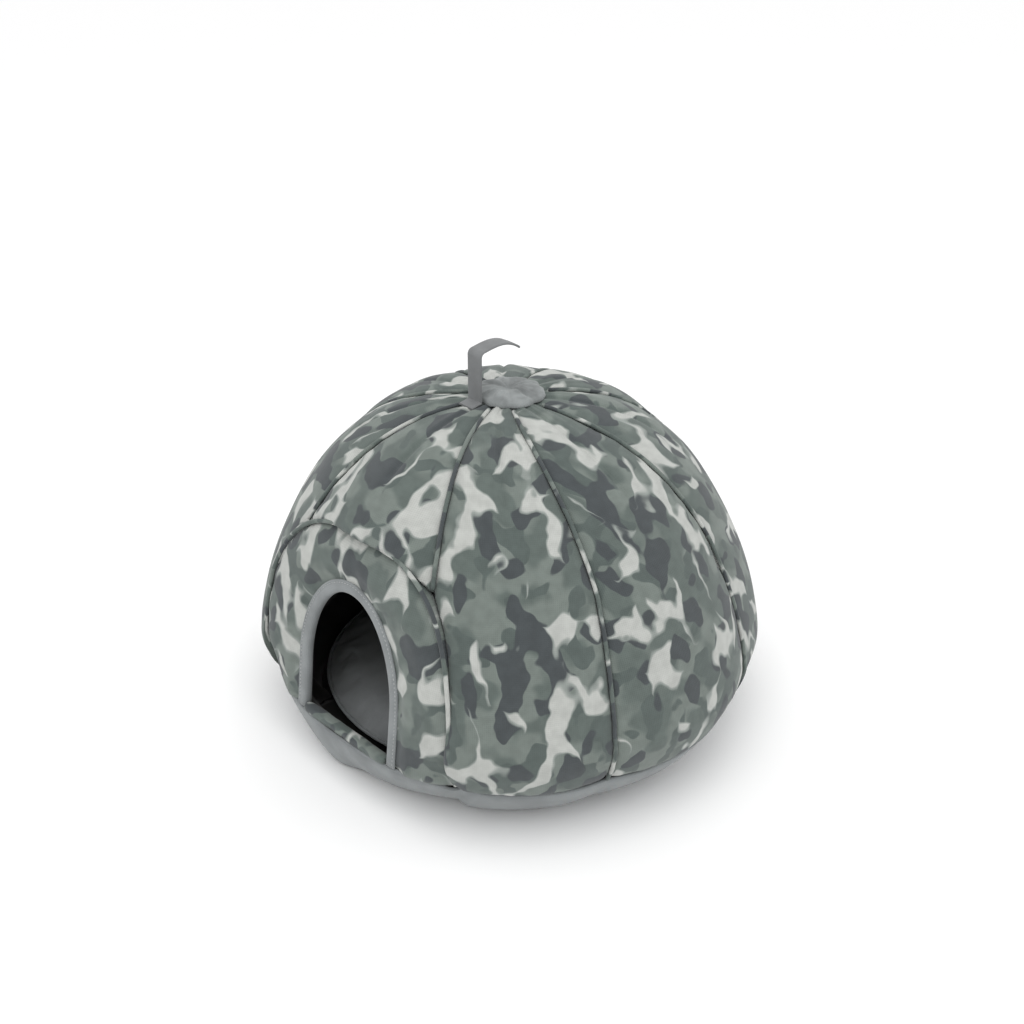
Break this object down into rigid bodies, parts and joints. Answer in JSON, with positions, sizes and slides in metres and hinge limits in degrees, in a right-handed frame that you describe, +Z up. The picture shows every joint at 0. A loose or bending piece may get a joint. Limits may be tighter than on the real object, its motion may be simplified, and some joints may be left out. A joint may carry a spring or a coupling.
{
  "type": "domed pet cave bed",
  "caption": "Padded fabric dome bed for a cat or small dog, with an arched doorway, a grey base, a loose cushion and a webbing strap on top.",
  "frame": {"origin": "on the floor under the middle of the dome, which is the middle of the flat round underside", "axes": "+Z up; the doorway faces -Y; +X is to the right of someone who looks in through the doorway, and is the widest direction"},
  "size_m": [0.6002, 0.5645, 0.4698],
  "materials": {
    "camo_cloth": "matte printed brushed polyester",
    "grey_cloth": "matte plain woven",
    "webbing": "matte woven webbing",
    "lining": "matte dark cloth",
    "foam": "open-cell foam and fibre fill",
    "grip_cloth": "matte cloth with small rubber dots"
  },
  "bodies": {
    "shell": {"arch_piping": "camo_cloth", "base_band": "grey_cloth", "base_band_foam": "foam", "base_band_lining": "lining", "base_bottom": "grip_cloth", "base_foam": "foam", "base_piping": "grey_cloth", "crown_cap": "grey_cloth", "crown_lining": "lining", "crown_plug": "foam", "door_binding": "grey_cloth", "door_panel_cover": "camo_cloth", "door_panel_foam": "foam", "door_panel_lining": "lining", "floor_lining": "lining", "front_cover": "camo_cloth", "front_foam": "foam", "front_left_cover": "camo_cloth", "front_left_foam": "foam", "front_left_lining": "lining", "front_lining": "lining", "front_right_cover": "camo_cloth", "front_right_foam": "foam", "front_right_lining": "lining", "handle_foot": "webbing", "left_cover": "camo_cloth", "left_foam": "foam", "left_lining": "lining", "piping_front_left_to_front": "camo_cloth", "piping_front_right_to_right": "camo_cloth", "piping_front_to_front_right": "camo_cloth", "piping_left_to_front_left": "camo_cloth", "piping_rear_left_to_left": "camo_cloth", "piping_rear_right_to_rear": "camo_cloth", "piping_rear_to_rear_left": "camo_cloth", "piping_right_to_rear_right": "camo_cloth", "rear_cover": "camo_cloth", "rear_foam": "foam", "rear_left_cover": "camo_cloth", "rear_left_foam": "foam", "rear_left_lining": "lining", "rear_lining": "lining", "rear_right_cover": "camo_cloth", "rear_right_foam": "foam", "rear_right_lining": "lining", "right_cover": "camo_cloth", "right_foam": "foam", "right_lining": "lining", "threshold_roll": "camo_cloth"},
    "strap_leg": {"handle_leg": "webbing"},
    "strap_flap": {"handle_flap": "webbing"},
    "cushion": {"cushion_top": "grey_cloth", "cushion_bottom": "lining", "cushion_core": "foam", "cushion_piping": "grey_cloth"}
  },
  "joints": [
    {"name": "strap_root", "type": "hinge", "parent": "shell", "child": "strap_leg", "pos_m": [-0.007, -0.0445, 0.411], "axis": [1, 0, 0], "range_deg": [-15, 80], "stiffness_Nm_per_rad": 0.006},
    {"name": "strap_fold", "type": "hinge", "parent": "strap_leg", "child": "strap_flap", "pos_m": [-0.007, -0.0445, 0.4585], "axis": [1, 0, 0], "range_deg": [-15, 80], "stiffness_Nm_per_rad": 0.004},
    {"name": "cushion_lift", "type": "slide", "parent": "shell", "child": "cushion", "axis": [0, 0, 1], "range_m": [0, 0.05]}
  ]
}
